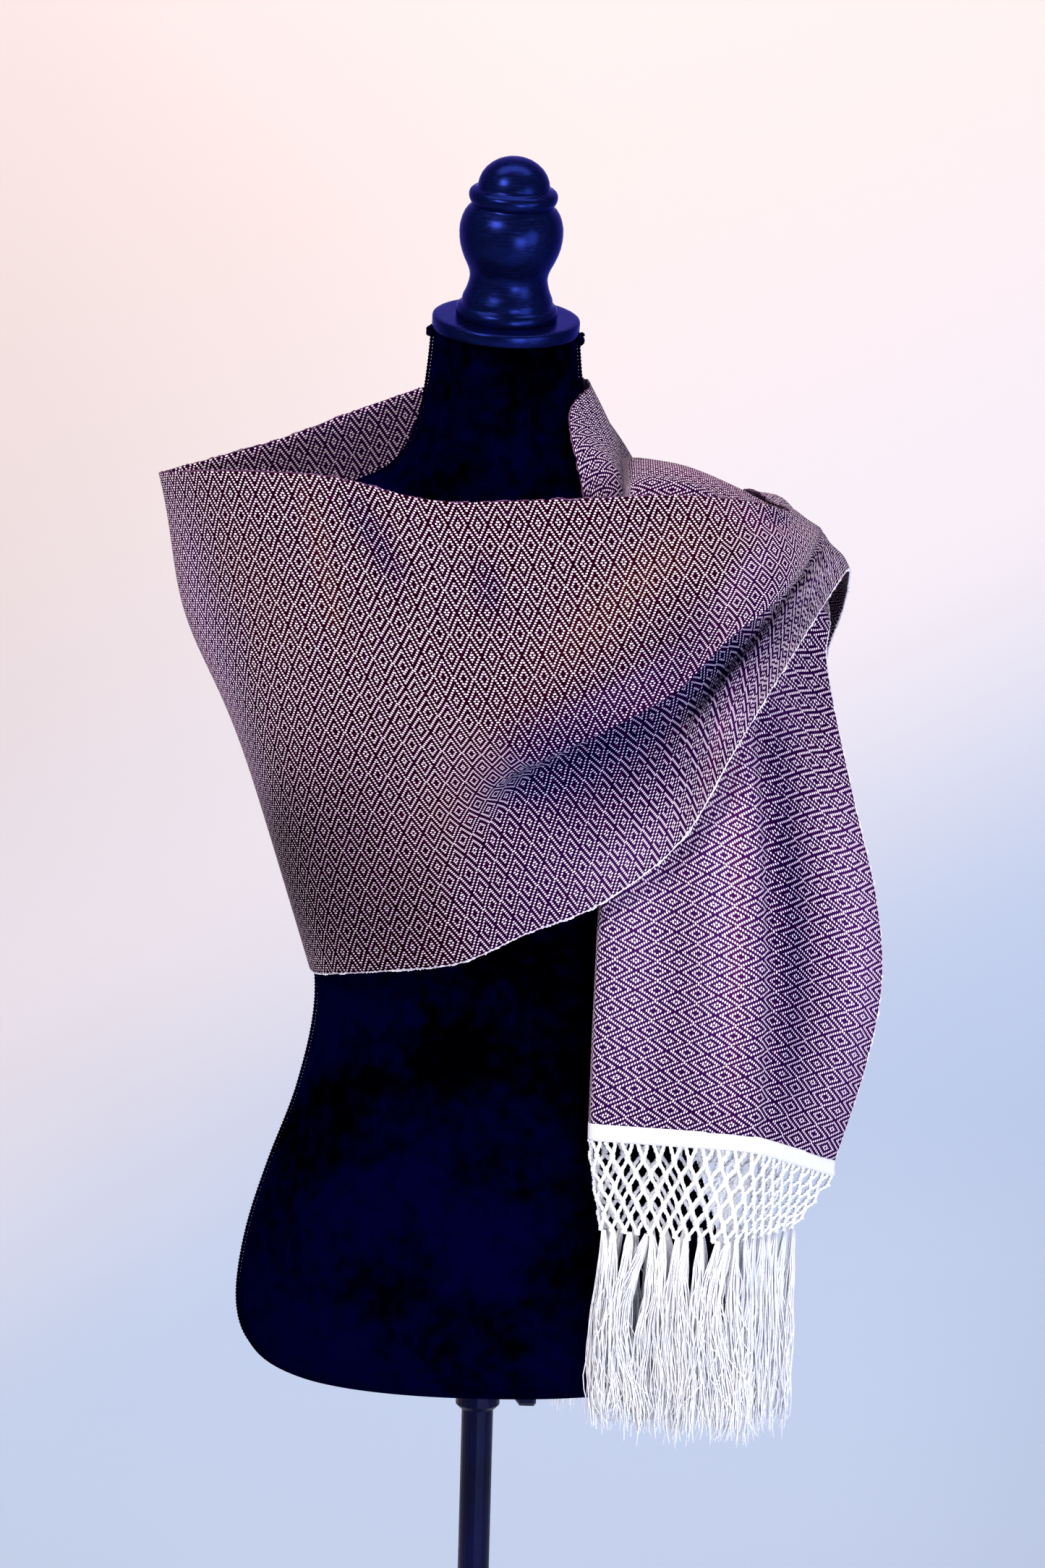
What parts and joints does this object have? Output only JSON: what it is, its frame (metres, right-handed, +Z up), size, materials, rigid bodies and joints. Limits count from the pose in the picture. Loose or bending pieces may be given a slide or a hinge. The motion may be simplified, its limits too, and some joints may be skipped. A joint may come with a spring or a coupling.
{
  "type": "rebozo on a limbless dress form",
  "caption": "Narrow diamond-weave rebozo wrapped round a limbless dress form with netted fringe at both ends, on a clamped pole stand.",
  "frame": {"origin": "on the floor under the middle of the base plate", "axes": "+Z up along the pole, -Y towards the front of the form, +X towards the side that both ends of the cloth hang on"},
  "size_m": [0.5401, 0.3383, 1.7166],
  "materials": {
    "rebozo_cloth": "point twill weave, purple and white",
    "white_yarn": "knotted white yarn",
    "navy_velvet": "dark velvet cover",
    "navy_lacquer": "dark gloss lacquer",
    "navy_metal": "dark satin paint"
  },
  "bodies": {
    "stand": {"base_plate": "navy_metal", "base_socket": "navy_metal", "pole": "navy_metal"},
    "dressed_form": {"cloth_front_end": "rebozo_cloth", "cloth_shoulder_under": "rebozo_cloth", "cloth_back_wrap": "rebozo_cloth", "cloth_left_turn": "rebozo_cloth", "cloth_front_panel": "rebozo_cloth", "cloth_shoulder_throw": "rebozo_cloth", "cloth_back_end": "rebozo_cloth", "front_heading": "white_yarn", "front_net": "white_yarn", "front_fringe": "white_yarn", "back_heading": "white_yarn", "back_net": "white_yarn", "back_fringe": "white_yarn", "form_torso": "navy_velvet", "neck_cap": "navy_lacquer", "finial": "navy_lacquer", "clamp_collar": "navy_metal", "clamp_boss": "navy_metal"},
    "clamp_knob": {"clamp_knob": "navy_metal"}
  },
  "joints": [
    {"name": "height_slide", "type": "slide", "parent": "stand", "child": "dressed_form", "axis": [0, 0, 1], "range_m": [-0.2, 0.15]},
    {"name": "clamp_turn", "type": "hinge", "parent": "dressed_form", "child": "clamp_knob", "pos_m": [0.027, 0, 0.785], "axis": [1, 0, 0], "range_deg": [0, 720]}
  ]
}
